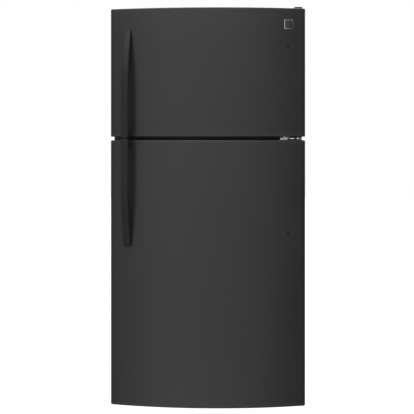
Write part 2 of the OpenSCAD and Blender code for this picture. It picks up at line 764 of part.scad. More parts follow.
function door_front_at(x) = crown_y + crown_r - sqrt(crown_r * crown_r - x * x);

// Handle with its gap end at z_gap and its free end handle_len away along dir.
module handle(z_gap, dir) {
    n = 24;
    x = -half + handle_in;
    door = door_front_at(x);
    z = function(u) z_gap + dir * handle_len * (1 - u);
    low = min(z_gap, z_gap + dir * handle_len);
    difference() {
        union() {
            along_x(x - handle_w / 2, x + handle_w / 2)
                polygon([for (p = concat(handle_front(n), handle_back(n))) [min(p[0], door + 6), z(p[1])]]);
            block([x - handle_w / 2 + 3, handle_y + handle_t / 2, min(z_gap, z_gap + dir * post_h)],
                  [x + handle_w / 2 - 3, door + 6, max(z_gap, z_gap + dir * post_h)]);
        }
        along_z(low - e, low + handle_len + e) door_plan(0);
    }
}

module freezer_door_skin() color("#3c3d40") door_skin(freezer_door_z);
module freezer_door_caps() color("#2b2c2e") door_caps(freezer_door_z);
module freezer_door_foam() color("#d9c98c") door_foam(freezer_door_z, freezer_open);
module freezer_door_liner() color("#eef0f1") door_liner(freezer_door_z, freezer_open);
module freezer_gasket() color("#2a2a2b") gasket(freezer_open);
module freezer_handle() color("#2f3032") handle(split_h + handle_gap / 2, 1);
module freezer_door_bins() color("#e8edf0") for (up = [60, 240]) door_bin(freezer_floor + up, 85);

module fridge_door_skin() color("#3c3d40") door_skin(fridge_door_z);
module fridge_door_caps() color("#2b2c2e") door_caps(fridge_door_z);
module fridge_door_foam() color("#d9c98c") door_foam(fridge_door_z, fridge_open);
module fridge_door_liner() color("#eef0f1") door_liner(fridge_door_z, fridge_open);
module fridge_gasket() color("#2a2a2b") gasket(fridge_open);
module fridge_handle() color("#2f3032") handle(split_h - handle_gap / 2, -1);

module fridge_door_bins() color("#e8edf0") {
    for (z = [cover_z + 62, shelf_z[0] + 56]) door_bin(z, 100);
    difference() {
        tray([-dairy_half, door_in_y + 0.3, dairy_z - dairy_h], [dairy_half, door_in_y + dairy_d,
                dairy_z - 4], wall, 8);
        block([-dairy_half + 12, door_in_y + dairy_d - 8, dairy_z - dairy_h + 30], [dairy_half - 12,
                door_in_y + bin_d, dairy_z]);
    }
}

// Clear lid over the dairy box, turning about its rear top edge.
module dairy_lid() color("#d5e4e6") {
    y0 = door_in_y + 5;
    y1 = door_in_y + dairy_d + 6;
    block([-dairy_half, y0, dairy_z], [dairy_half, y1, dairy_z + 2.5]);
    block([-dairy_half, y1 - 2.5, dairy_z - dairy_h + 20], [dairy_half, y1, dairy_z + 2.5]);
}

outer_case();
back_panel();
base_frame();
cabinet_foam();
freezer_liner();
fridge_liner();
center_rail();
machine_cover();
compressor();
compressor_grommets();
condenser();
condenser_fan_motor();
condenser_fan_blade();
refrigerant_lines();
evaporator();
defrost_heater();
evaporator_cover();
evaporator_fan_motor();
evaporator_fan_blade();
drain_pan();
air_duct();
control_housing();
light_lens();
fridge_dial();
freezer_dial();
freezer_shelf();
shelf_frames();
shelf_glass();
crisper_cover();
crisper_left();
crisper_right();
humidity_slide_left();
humidity_slide_right();
ice_bin();
base_grille();
levelling_leg_left();
levelling_leg_right();
roller_left();
roller_right();
top_hinge();
top_hinge_cover();
mid_hinge();
bottom_hinge();
hinge_screws();
fridge_switch();
freezer_door_skin();
freezer_door_caps();
freezer_door_foam();
freezer_door_liner();
freezer_gasket();
freezer_handle();
freezer_door_bins();
fridge_door_skin();
fridge_door_caps();
fridge_door_foam();
fridge_door_liner();
fridge_gasket();
fridge_handle();
fridge_door_bins();
dairy_lid();
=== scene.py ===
"""Finish and surface detail of a top freezer refrigerator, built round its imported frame.

Metres, +Z up, the doors face -Y. The camera and the light come first, then the finishes, then the
pieces: doors, handles, plugs, plate, gaskets, screws and softened nodes, and last the floor.
"""

import json
import math

import bmesh
import bpy
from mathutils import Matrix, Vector


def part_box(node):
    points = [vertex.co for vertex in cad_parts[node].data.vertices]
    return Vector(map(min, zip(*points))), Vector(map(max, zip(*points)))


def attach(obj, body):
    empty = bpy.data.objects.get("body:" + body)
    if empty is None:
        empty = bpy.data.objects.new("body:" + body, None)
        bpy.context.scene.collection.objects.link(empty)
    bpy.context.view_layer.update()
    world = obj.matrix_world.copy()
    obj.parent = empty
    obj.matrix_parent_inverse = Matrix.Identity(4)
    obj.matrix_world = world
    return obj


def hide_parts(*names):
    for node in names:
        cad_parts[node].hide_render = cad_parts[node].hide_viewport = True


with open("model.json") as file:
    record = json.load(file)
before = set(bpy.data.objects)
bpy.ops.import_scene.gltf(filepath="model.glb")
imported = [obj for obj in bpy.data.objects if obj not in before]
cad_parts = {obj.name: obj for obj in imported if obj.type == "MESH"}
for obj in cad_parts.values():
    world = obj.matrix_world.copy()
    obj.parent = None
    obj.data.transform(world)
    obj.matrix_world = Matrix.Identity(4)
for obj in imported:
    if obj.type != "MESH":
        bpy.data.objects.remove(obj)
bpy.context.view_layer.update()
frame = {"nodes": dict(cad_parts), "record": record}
RECORD = frame["record"]
SLOT_OF = {part["node"]: part["material_slot"] for part in RECORD["subparts"]}
BODY_OF = {node: body for body, nodes in RECORD["behaviour"]["bodies"].items() for node in nodes}
MM = 0.001


def box(node):
    low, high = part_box(node)
    return Vector(low), Vector(high)


# ---------------------------------------------------------------- sizes taken from the frame

FRIDGE_CAPS = box("fridge_door_caps")
FREEZER_CAPS = box("freezer_door_caps")
CASE = box("outer_case")
HANDLE_UP = box("freezer_handle")
HANDLE_LOW = box("fridge_handle")
HALF = FRIDGE_CAPS[1].x
CROWN_Y = FRIDGE_CAPS[0].y
DOOR_IN_Y = FRIDGE_CAPS[1].y
CROWN = 22.5 * MM
CROWN_R = (HALF**2 + CROWN**2) / (2 * CROWN)
EDGE_Y = CROWN_Y + CROWN
CAP_H = 14 * MM
FRONT_R = 10 * MM
REAR_R = 14 * MM


# ---------------------------------------------------------------- camera and light

def add_camera():
    data = bpy.data.cameras.new("camera")
    data.lens = 35.2
    data.sensor_width = 36.0
    data.shift_x = -0.00075
    data.shift_y = -0.1622
    camera = bpy.data.objects.new("camera", data)
    camera.location = (0.018, EDGE_Y - 1.726, 1.160)
    camera.rotation_euler = (math.radians(90), 0, math.radians(0.66))
    bpy.context.scene.collection.objects.link(camera)
    bpy.context.scene.camera = camera


def add_softbox(name, place, target, size, power):
    """Soft light that shades the surfaces; what they mirror is the studio around them."""
    data = bpy.data.lights.new(name, "AREA")
    data.shape = "RECTANGLE"
    data.size, data.size_y = size
    data.energy = power
    lamp = bpy.data.objects.new(name, data)
    lamp.location = place
    lamp.rotation_euler = (Vector(target) - Vector(place)).to_track_quat("-Z", "Y").to_euler()
    lamp.visible_glossy = False
    bpy.context.scene.collection.objects.link(lamp)


# What a mirror facing the studio would show: (degrees right of straight ahead, brightness).
STUDIO_BANDS = (
    (-180, 0.95), (-120, 0.70), (-75, 0.42), (-60, 0.34), (-30, 0.36), (-22, 0.68), (-15, 1.36),
    (-10, 1.30), (-5, 1.00), (12, 0.99), (17, 0.78), (20, 0.24), (30, 0.05), (60, 0.14),
    (80, 0.40), (120, 0.70), (180, 0.95),
)
DIFFUSE_WORLD = 0.40


def add_world():
    """White to the camera and through clear pieces, bands of light to reflections, dim to the rest."""
    world = bpy.data.worlds.new("studio")
    bpy.context.scene.world = world
    world.use_nodes = True
    tree = world.node_tree
    tree.nodes.clear()
    coords = tree.nodes.new("ShaderNodeTexCoord")
    axes = tree.nodes.new("ShaderNodeSeparateXYZ")
    tree.links.new(coords.outputs["Generated"], axes.inputs[0])
    front = tree.nodes.new("ShaderNodeMath")
    front.operation = "MULTIPLY"
    front.inputs[1].default_value = -1.0
    tree.links.new(axes.outputs["Y"], front.inputs[0])
    angle = tree.nodes.new("ShaderNodeMath")
    angle.operation = "ARCTAN2"
    tree.links.new(axes.outputs["X"], angle.inputs[0])
    tree.links.new(front.outputs[0], angle.inputs[1])
    turn = tree.nodes.new("ShaderNodeMapRange")
    turn.inputs["From Min"].default_value = -math.pi
    turn.inputs["From Max"].default_value = math.pi
    tree.links.new(angle.outputs[0], turn.inputs["Value"])
    bands = tree.nodes.new("ShaderNodeFloatCurve")
    curve = bands.mapping.curves[0]
    brightest, overhead_gain = 2.0, 5.0
    while len(curve.points) < len(STUDIO_BANDS):
        curve.points.new(0.5, 0.5)
    for point, (degrees, value) in zip(curve.points, STUDIO_BANDS):
        point.location = (degrees / 360 + 0.5, value / brightest)
        point.handle_type = "VECTOR"
    bands.mapping.update()
    tree.links.new(turn.outputs["Result"], bands.inputs["Value"])
    above = tree.nodes.new("ShaderNodeMapRange")
    overhead = (
        ("From Min", 0.58), ("From Max", 0.80),
        ("To Min", brightest), ("To Max", brightest * overhead_gain),
    )
    for socket, value in overhead:
        above.inputs[socket].default_value = value
    tree.links.new(axes.outputs["Z"], above.inputs["Value"])
    mirrored = tree.nodes.new("ShaderNodeMath")
    mirrored.operation = "MULTIPLY"
    tree.links.new(bands.outputs["Value"], mirrored.inputs[0])
    tree.links.new(above.outputs["Result"], mirrored.inputs[1])
    path = tree.nodes.new("ShaderNodeLightPath")
    in_mirror = tree.nodes.new("ShaderNodeMix")
    in_mirror.inputs["A"].default_value = DIFFUSE_WORLD
    tree.links.new(path.outputs["Is Glossy Ray"], in_mirror.inputs["Factor"])
    tree.links.new(mirrored.outputs[0], in_mirror.inputs["B"])
    seen = tree.nodes.new("ShaderNodeMath")
    seen.operation = "MAXIMUM"
    tree.links.new(path.outputs["Is Camera Ray"], seen.inputs[0])
    tree.links.new(path.outputs["Is Transmission Ray"], seen.inputs[1])
    strength = tree.nodes.new("ShaderNodeMix")
    strength.inputs["B"].default_value = 1.0
    tree.links.new(seen.outputs[0], strength.inputs["Factor"])
    tree.links.new(in_mirror.outputs["Result"], strength.inputs["A"])
    back = tree.nodes.new("ShaderNodeBackground")
    back.inputs["Color"].default_value = (1, 1, 1, 1)
    out = tree.nodes.new("ShaderNodeOutputWorld")
    tree.links.new(strength.outputs["Result"], back.inputs["Strength"])
    tree.links.new(back.outputs[0], out.inputs["Surface"])


bpy.context.scene.view_settings.view_transform = "Standard"
add_camera()
add_world()
add_softbox("front", (-0.45, -3.9, 1.75), (0, -0.38, 1.1), (2.3, 3.0), 40)
add_softbox("top", (0, -1.7, 3.7), (0, -0.2, 1.2), (2.6, 1.4), 34)
add_softbox("left", (-3.4, -0.9, 1.9), (0, 0.1, 0.9), (1.8, 2.2), 22)
add_softbox("right", (3.4, -0.6, 1.7), (0, 0.1, 0.9), (1.8, 2.2), 16)
add_softbox("rear", (-1.2, 4.0, 2.3), (0, 0.3, 0.9), (2.6, 2.4), 40)


# ---------------------------------------------------------------- shared effects

def new_group(name, inputs, outputs):
    """Empty node group with named sockets: inputs are (name, kind, value), outputs (name, kind)."""
    group = bpy.data.node_groups.new(name, "ShaderNodeTree")
    for label, kind, value in inputs:
        socket = group.interface.new_socket(name=label, in_out="INPUT", socket_type=kind)
        if value is not None:
            socket.default_value = value
    for label, kind in outputs:
        group.interface.new_socket(name=label, in_out="OUTPUT", socket_type=kind)
    return group, group.nodes.new("NodeGroupInput"), group.nodes.new("NodeGroupOutput")


def link(tree, a, b):
    tree.links.new(a, b)


def build_mottle():
    """Slow cloudy variation, 0 to 1, of a painted or moulded surface."""
    group, inp, out = new_group(
        "mottle",
        [("Position", "NodeSocketVector", None), ("Scale", "NodeSocketFloat", 6.0)],
        [("Mask", "NodeSocketFloat")],
    )
    noise = group.nodes.new("ShaderNodeTexNoise")
    noise.inputs["Detail"].default_value = 2.0
    noise.inputs["Roughness"].default_value = 0.5
    spread = group.nodes.new("ShaderNodeMapRange")
    spread.interpolation_type = "SMOOTHSTEP"
    spread.inputs["From Min"].default_value = 0.2
    spread.inputs["From Max"].default_value = 0.8
    link(group, inp.outputs["Position"], noise.inputs["Vector"])
    link(group, inp.outputs["Scale"], noise.inputs["Scale"])
    link(group, noise.outputs["Fac"], spread.inputs["Value"])
    link(group, spread.outputs["Result"], out.inputs["Mask"])
    return group


def build_grain():
    """Height of a fine grain: rounded cells mixed with a finer noise."""
    group, inp, out = new_group(
        "grain",
        [
            ("Position", "NodeSocketVector", None),
            ("Scale", "NodeSocketFloat", 600.0),
            ("Cells", "NodeSocketFloat", 0.5),
        ],
        [("Height", "NodeSocketFloat")],
    )
    noise = group.nodes.new("ShaderNodeTexNoise")
    noise.inputs["Detail"].default_value = 3.0
    cells = group.nodes.new("ShaderNodeTexVoronoi")
    cells.feature = "SMOOTH_F1"
    cells.inputs["Smoothness"].default_value = 0.6
    mix = group.nodes.new("ShaderNodeMix")
    link(group, inp.outputs["Position"], noise.inputs["Vector"])
    link(group, inp.outputs["Position"], cells.inputs["Vector"])
    link(group, inp.outputs["Scale"], noise.inputs["Scale"])
    link(group, inp.outputs["Scale"], cells.inputs["Scale"])
    link(group, inp.outputs["Cells"], mix.inputs["Factor"])
    link(group, noise.outputs["Fac"], mix.inputs["A"])
    link(group, cells.outputs["Distance"], mix.inputs["B"])
    link(group, mix.outputs["Result"], out.inputs["Height"])
    return group


def build_dust():
    """Mask of the faint dust that settles on faces that look up."""
    group, inp, out = new_group(
        "settled_dust",
        [("Position", "NodeSocketVector", None), ("Amount", "NodeSocketFloat", 0.2)],
        [("Mask", "NodeSocketFloat")],
    )
    geometry = group.nodes.new("ShaderNodeNewGeometry")
    split = group.nodes.new("ShaderNodeSeparateXYZ")
    up = group.nodes.new("ShaderNodeMapRange")
    up.inputs["From Min"].default_value = 0.6
    noise = group.nodes.new("ShaderNodeTexNoise")
    noise.inputs["Scale"].default_value = 40.0
    noise.inputs["Detail"].default_value = 6.0
    times = group.nodes.new("ShaderNodeMath")
    times.operation = "MULTIPLY"
    amount = group.nodes.new("ShaderNodeMath")
    amount.operation = "MULTIPLY"
    link(group, geometry.outputs["True Normal"], split.inputs[0])
    link(group, split.outputs["Z"], up.inputs["Value"])
    link(group, inp.outputs["Position"], noise.inputs["Vector"])
    link(group, up.outputs["Result"], times.inputs[0])
    link(group, noise.outputs["Fac"], times.inputs[1])
    link(group, times.outputs[0], amount.inputs[0])
    link(group, inp.outputs["Amount"], amount.inputs[1])
    link(group, amount.outputs[0], out.inputs["Mask"])
    return group


def build_beads():
    """Mask of upright pressed beads, one every pitch metres."""
    group, inp, out = new_group(
        "pressed_beads",
        [
            ("Position", "NodeSocketVector", None),
            ("Pitch", "NodeSocketFloat", 0.11),
            ("Width", "NodeSocketFloat", 0.012),
        ],
        [("Mask", "NodeSocketFloat")],
    )
    split = group.nodes.new("ShaderNodeSeparateXYZ")
    fold = group.nodes.new("ShaderNodeMath")
    fold.operation = "PINGPONG"
    edge = group.nodes.new("ShaderNodeMapRange")
    edge.interpolation_type = "SMOOTHSTEP"
    edge.inputs["To Min"].default_value = 1.0
    edge.inputs["To Max"].default_value = 0.0
    link(group, inp.outputs["Position"], split.inputs[0])
    link(group, split.outputs["X"], fold.inputs[0])
    link(group, inp.outputs["Pitch"], fold.inputs[1])
    link(group, fold.outputs[0], edge.inputs["Value"])
    link(group, inp.outputs["Width"], edge.inputs["From Max"])
    link(group, edge.outputs["Result"], out.inputs["Mask"])
    return group


MOTTLE = build_mottle()
GRAIN = build_grain()
DUST = build_dust()
BEADS = build_beads()


# ---------------------------------------------------------------- finishes

def place_group(tree, group, position, **values):
    node = tree.nodes.new("ShaderNodeGroup")
    node.node_tree = group
    link(tree, position, node.inputs["Position"])
    for label, value in values.items():
        node.inputs[label].default_value = value
    return node


def blend_colour(tree, mask, low, high):
    mix = tree.nodes.new("ShaderNodeMix")
    mix.data_type = "RGBA"
    link(tree, mask, mix.inputs["Factor"])
    for key, colour in (("A", low), ("B", high)):
        socket = [s for s in mix.inputs if s.name == key and s.type == "RGBA"][0]
        if isinstance(colour, tuple):
            socket.default_value = (*colour, 1.0)
        else:
            link(tree, colour, socket)
    return [s for s in mix.outputs if s.type == "RGBA"][0]


def blend_value(tree, mask, low, high):
    span = tree.nodes.new("ShaderNodeMapRange")
    link(tree, mask, span.inputs["Value"])
    span.inputs["To Min"].default_value = low
    span.inputs["To Max"].default_value = high
    return span.outputs["Result"]

DUST_COLOUR = (0.45, 0.44, 0.42)


def make_finish(
    name,
    light,
    dark,
    rough,
    mottle=6.0,
    grain=600.0,
    cells=0.4,
    depth=0.03,
    metal=0.0,
    dust=0.0,
    stretch=(1, 1, 1),
    level=0.5,
    alpha=1.0,
    beads=0.0,
):
    """Material whose colour and roughness drift slowly and whose surface has a fine grain.

    light and dark are the ends of the colour drift, rough the ends of the roughness drift,
    grain the cells per metre, depth the grain's depth and beads the beads' height in millimetres.
    """
    material = bpy.data.materials.new(name)
    material.use_nodes = True
    tree = material.node_tree
    shader = tree.nodes["Principled BSDF"]
    place = tree.nodes.new("ShaderNodeTexCoord")
    mapping = tree.nodes.new("ShaderNodeMapping")
    mapping.inputs["Scale"].default_value = stretch
    link(tree, place.outputs["Object"], mapping.inputs["Vector"])
    position = mapping.outputs["Vector"]
    drift = place_group(tree, MOTTLE, position, Scale=mottle)
    colour = blend_colour(tree, drift.outputs["Mask"], dark, light)
    if dust:
        settled = place_group(tree, DUST, position, Amount=dust)
        colour = blend_colour(tree, settled.outputs["Mask"], colour, DUST_COLOUR)
    link(tree, colour, shader.inputs["Base Color"])
    link(tree, blend_value(tree, drift.outputs["Mask"], *rough), shader.inputs["Roughness"])
    fine = place_group(tree, GRAIN, position, Scale=grain, Cells=cells)
    bump = tree.nodes.new("ShaderNodeBump")
    bump.inputs["Strength"].default_value = 1.0
    bump.inputs["Distance"].default_value = depth * MM
    link(tree, fine.outputs["Height"], bump.inputs["Height"])
    normal = bump.outputs["Normal"]
    if beads:
        pressed = place_group(tree, BEADS, place.outputs["Object"])
        relief = tree.nodes.new("ShaderNodeBump")
        relief.inputs["Distance"].default_value = beads * MM
        link(tree, pressed.outputs["Mask"], relief.inputs["Height"])
        link(tree, normal, relief.inputs["Normal"])
        normal = relief.outputs["Normal"]
    link(tree, normal, shader.inputs["Normal"])
    shader.inputs["Metallic"].default_value = metal
    shader.inputs["Specular IOR Level"].default_value = level
    shader.inputs["Alpha"].default_value = alpha
    return material


FINISH = {
    "door_paint": make_finish(
        "door_paint", (0.0180, 0.0180, 0.0185), (0.0160, 0.0160, 0.0165), (0.27, 0.31),
        mottle=3.0, grain=300.0, cells=0.2, depth=0.010, dust=0.03, level=0.40),
    "case_paint": make_finish(
        "case_paint", (0.026, 0.026, 0.027), (0.020, 0.020, 0.021), (0.46, 0.56),
        mottle=4.0, grain=650.0, cells=0.8, depth=0.16, dust=0.10, level=0.4),
    "frame_paint": make_finish(
        "frame_paint", (0.030, 0.030, 0.031), (0.018, 0.018, 0.019), (0.45, 0.62), dust=0.25),
    "galvanised": make_finish(
        "galvanised", (0.50, 0.51, 0.52), (0.42, 0.43, 0.445), (0.40, 0.54),
        mottle=90.0, grain=150.0, cells=1.0, depth=0.06, metal=1.0, beads=2.5),
    "plated_steel": make_finish(
        "plated_steel", (0.82, 0.82, 0.83), (0.66, 0.66, 0.67), (0.20, 0.32),
        mottle=30.0, grain=900.0, cells=0.2, depth=0.02, metal=1.0, stretch=(1, 1, 0.2)),
    "compressor_paint": make_finish(
        "compressor_paint", (0.020, 0.020, 0.021), (0.012, 0.012, 0.012), (0.22, 0.34),
        dust=0.3, depth=0.05),
    "copper": make_finish(
        "copper", (0.72, 0.38, 0.24), (0.48, 0.24, 0.15), (0.26, 0.48), mottle=20.0, metal=1.0),
    "aluminium": make_finish(
        "aluminium", (0.74, 0.75, 0.76), (0.60, 0.61, 0.62), (0.30, 0.46), mottle=20.0, metal=1.0),
    "foam": make_finish(
        "foam", (0.74, 0.62, 0.34), (0.62, 0.50, 0.25), (0.8, 0.95),
        mottle=30.0, grain=500.0, depth=0.5),
    "fibreboard": make_finish(
        "fibreboard", (0.060, 0.061, 0.063), (0.045, 0.046, 0.048), (0.5, 0.66), depth=0.1, dust=0.2),
    "liner": make_finish(
        "liner", (0.80, 0.81, 0.81), (0.77, 0.78, 0.785), (0.24, 0.32),
        mottle=3.0, grain=380.0, cells=0.3, depth=0.05),
    "white_plastic": make_finish(
        "white_plastic", (0.79, 0.80, 0.80), (0.75, 0.76, 0.77), (0.34, 0.46), grain=900.0, depth=0.05),
    "dial_plastic": make_finish(
        "dial_plastic", (0.56, 0.58, 0.60), (0.50, 0.52, 0.54), (0.28, 0.4), grain=900.0, depth=0.04),
    "clear_plastic": make_finish(
        "clear_plastic", (0.80, 0.87, 0.90), (0.74, 0.82, 0.86), (0.06, 0.16),
        grain=260.0, depth=0.03, alpha=0.34),
    "shelf_glass": make_finish(
        "shelf_glass", (0.62, 0.80, 0.74), (0.56, 0.76, 0.70), (0.02, 0.06),
        grain=60.0, depth=0.02, alpha=0.22),
    "lens": make_finish(
        "lens", (0.88, 0.88, 0.84), (0.84, 0.84, 0.80), (0.3, 0.42),
        grain=420.0, cells=1.0, depth=0.35),
    "shelf_wire": make_finish(
        "shelf_wire", (0.80, 0.81, 0.82), (0.72, 0.73, 0.74), (0.22, 0.34), depth=0.04),
    "heater_glass": make_finish(
        "heater_glass", (0.80, 0.79, 0.75), (0.70, 0.69, 0.65), (0.05, 0.12), alpha=0.5),
    "rubber": make_finish(
        "rubber", (0.014, 0.014, 0.014), (0.010, 0.010, 0.010), (0.62, 0.8),
        grain=1200.0, depth=0.06, level=0.18),
    "gasket": make_finish(
        "gasket", (0.056, 0.056, 0.057), (0.044, 0.044, 0.045), (0.48, 0.6), grain=1400.0, depth=0.05),
    "handle_plastic": make_finish(
        "handle_plastic", (0.0165, 0.0165, 0.017), (0.014, 0.014, 0.0145), (0.38, 0.46),
        mottle=5.0, grain=700.0, cells=0.6, depth=0.015, level=0.17),
    "cap_plastic": make_finish(
        "cap_plastic", (0.021, 0.021, 0.0215), (0.018, 0.018, 0.0185), (0.30, 0.36),
        grain=900.0, depth=0.03, level=0.42),
    "dark_plastic": make_finish(
        "dark_plastic", (0.022, 0.022, 0.023), (0.016, 0.016, 0.017), (0.42, 0.55),
        grain=900.0, cells=0.7, depth=0.08, dust=0.08),
    "foot_plastic": make_finish(
        "foot_plastic", (0.050, 0.050, 0.051), (0.035, 0.035, 0.036), (0.5, 0.65),
        grain=900.0, depth=0.08, dust=0.2),
}


# ---------------------------------------------------------------- making pieces

def add_piece(name, mesh, body, slot, node=None, smooth=30.0):
    """Links a finished mesh as a piece that rides on body and, if node is given, replaces it."""
    piece = bpy.data.objects.new(name, mesh)
    bpy.context.scene.collection.objects.link(piece)
    mesh.materials.clear()
    mesh.materials.append(FINISH[slot])
    if smooth is not None:
        mesh.polygons.foreach_set("use_smooth", [True] * len(mesh.polygons))
        mesh.set_sharp_from_angle(angle=math.radians(smooth))
    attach(piece, body)
    if node:
        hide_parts(node)
    return piece


def mesh_from(name, verts, faces):
    mesh = bpy.data.meshes.new(name)
    mesh.from_pydata([tuple(v) for v in verts], [], faces)
    work = bmesh.new()
    work.from_mesh(mesh)
    bmesh.ops.remove_doubles(work, verts=work.verts, dist=0.02 * MM)
    bmesh.ops.recalc_face_normals(work, faces=work.faces)
    work.to_mesh(mesh)
    work.free()
    return mesh


def loft(rings):
    """Closed skin over rings of equal length, with a flat face over each end."""
    count = len(rings[0])
    verts = [v for ring in rings for v in ring]
    faces = []
    for r in range(len(rings) - 1):
        for i in range(count):
            j = (i + 1) % count
            faces.append((r * count + i, r * count + j, (r + 1) * count + j, (r + 1) * count + i))
    faces.append(tuple(range(count)))
    last = (len(rings) - 1) * count
    faces.append(tuple(range(last, last + count)))
    return verts, faces


def baked(piece):
    """Mesh of a piece with its modifiers applied."""
    depsgraph = bpy.context.evaluated_depsgraph_get()
    return bpy.data.meshes.new_from_object(piece.evaluated_get(depsgraph), depsgraph=depsgraph)


def softened(node, width=0.8, segments=2, angle=40.0):
    """Copy of a node with its hard edges rounded by width millimetres; it replaces the node."""
    mesh = frame["nodes"][node].data.copy()
    mesh.name = node + "_soft"
    work = bmesh.new()
    work.from_mesh(mesh)
    bmesh.ops.remove_doubles(work, verts=work.verts, dist=0.02 * MM)
    bmesh.ops.dissolve_limit(
        work, angle_limit=math.radians(0.6), verts=work.verts, edges=work.edges)
    work.to_mesh(mesh)
    work.free()
    draft = bpy.data.objects.new(node + "_draft", mesh)
    bpy.context.scene.collection.objects.link(draft)
    bevel = draft.modifiers.new("round_edges", "BEVEL")
    bevel.width = width * MM
    bevel.segments = segments
    bevel.limit_method = "ANGLE"
    bevel.angle_limit = math.radians(angle)
    bevel.use_clamp_overlap = True
    bevel.miter_outer = "MITER_ARC"
    final = baked(draft)
    bpy.data.objects.remove(draft)
    return add_piece(node + "_finished", final, BODY_OF[node], SLOT_OF[node], node, smooth=50.0)


# ---------------------------------------------------------------- doors

def door_outline(inset, front_steps=72, corner_steps=8):
    """Plan of a door from the left front corner round to the left rear one, set in by inset."""
    width = HALF - inset
    front_r = max(FRONT_R - inset, 0.4 * MM)
    rear_r = max(REAR_R - inset, 0.4 * MM)
    big = CROWN_R - inset
    centre_y = CROWN_Y + CROWN_R
    small_y = centre_y - math.sqrt((big - front_r) ** 2 - (width - front_r) ** 2)
    reach = math.asin((width - front_r) / (big - front_r))
    points = []
    for i in range(front_steps + 1):
        a = -reach + 2 * reach * i / front_steps
        points.append((big * math.sin(a), centre_y - big * math.cos(a)))
    for i in range(1, corner_steps + 1):
        a = -math.pi / 2 + reach + (math.pi / 2 - reach) * i / corner_steps
        points.append((width - front_r + front_r * math.cos(a), small_y + front_r * math.sin(a)))
    rear = DOOR_IN_Y
    for i in range(corner_steps + 1):
        a = math.pi / 2 * i / corner_steps
        points.append((width - rear_r + rear_r * math.cos(a), rear - rear_r + rear_r * math.sin(a)))
    mirrored = [(-x, y) for x, y in reversed(points[front_steps + 1:])]
    return points + mirrored


def quarter_rim(radius, steps=5):
    """(height, inset) pairs of a rounded rim, from the flat end up to the straight side."""
    pairs = []
    for i in range(steps + 1):
        a = math.pi / 2 * i / steps
        pairs.append((radius * (1 - math.cos(a)), radius * (1 - math.sin(a))))
    return pairs


def door_block(name, z0, z1, rim0, rim1, body, slot, node=None):
    """Part of a door from z0 to z1 with rims of radius rim0 below and rim1 above."""
    levels = [(z0 + up, inset) for up, inset in quarter_rim(rim0)]
    levels += [(z1 - up, inset) for up, inset in reversed(quarter_rim(rim1))]
    rings = [[(x, y, z) for x, y in door_outline(inset)] for z, inset in levels]
    return add_piece(name, mesh_from(name, *loft(rings)), body, slot, node, smooth=32.0)


def build_door(prefix, caps):
    body = prefix + "_door"
    z0, z1 = caps[0].z, caps[1].z
    seam, low_rim, high_rim = 0.35 * MM, 3.5 * MM, 5.5 * MM
    door_block(
        prefix + "_door_panel", z0 + CAP_H, z1 - CAP_H, seam, seam,
        body, "door_paint", prefix + "_door_skin")
    door_block(
        prefix + "_cap_bottom", z0, z0 + CAP_H, low_rim, seam,
        body, "cap_plastic", prefix + "_door_caps")
    door_block(prefix + "_cap_top", z1 - CAP_H, z1, seam, high_rim, body, "cap_plastic")


build_door("fridge", FRIDGE_CAPS)
build_door("freezer", FREEZER_CAPS)


def door_front(x):
    """Y of the door's outer face at x."""
    return CROWN_Y + CROWN_R - math.sqrt(CROWN_R**2 - x**2)


# ---------------------------------------------------------------- handles

HANDLE_X = (HANDLE_LOW[0].x + HANDLE_LOW[1].x) / 2
HANDLE_W = HANDLE_LOW[1].x - HANDLE_LOW[0].x
HANDLE_REACH = EDGE_Y - HANDLE_LOW[0].y
HANDLE_T = 17 * MM
POST_H = 24 * MM
POST_FILLET = 20 * MM
BURIED = 5 * MM
TIP_R = 9 * MM
TIP_REACH = 8 * MM
BOW_START = 0.07
BOW_CREST = 0.62


def bow(u):
    """Y of a handle's front face, from its free end (u = 0) to the gap (u = 1)."""
    u = BOW_START + (1 - BOW_START) * u
    rise = math.sin(math.pi / 2 * min(1.0, u / BOW_CREST))
    return EDGE_Y - TIP_REACH - (HANDLE_REACH - TIP_REACH) * rise


def arc(cx, cz, radius, a0, a1, steps=6):
    angles = [a0 + (a1 - a0) * i / steps for i in range(steps + 1)]
    return [(cx + radius * math.cos(a), cz + radius * math.sin(a)) for a in angles]


def handle_profile(length):
    """Side view as (y, s), with s from 0 at the gap end to length at the free end."""
    door = door_front(HANDLE_X)
    steps = 44
    nose = 4 * MM
    front = [(bow(1 - i / steps), length * i / steps) for i in range(1, steps)]
    gap_corner = arc(bow(1) + nose, nose, nose, -math.pi / 2, -math.pi)
    tip_y = bow(0)
    tip = arc(tip_y + TIP_R, length - TIP_R, TIP_R, -math.pi, -1.5 * math.pi)
    back = []
    for i in range(steps, -1, -1):
        s = length * i / steps
        y = bow(1 - i / steps) + HANDLE_T
        if y < door - 1 * MM and s > POST_H + POST_FILLET + HANDLE_T * 0.5:
            back.append((y, s))
    inner = bow(1) + HANDLE_T
    fillet = arc(inner + POST_FILLET, POST_H + POST_FILLET, POST_FILLET, math.pi, 1.5 * math.pi)
    points = gap_corner
    points += [p for p in front if nose < p[1] < length - TIP_R]
    points += tip
    points += [(door + BURIED, length), (door + BURIED, back[0][1] + 8 * MM)]
    points += back + fillet
    points += [(door + BURIED, POST_H), (door + BURIED, 0.0)]
    return points


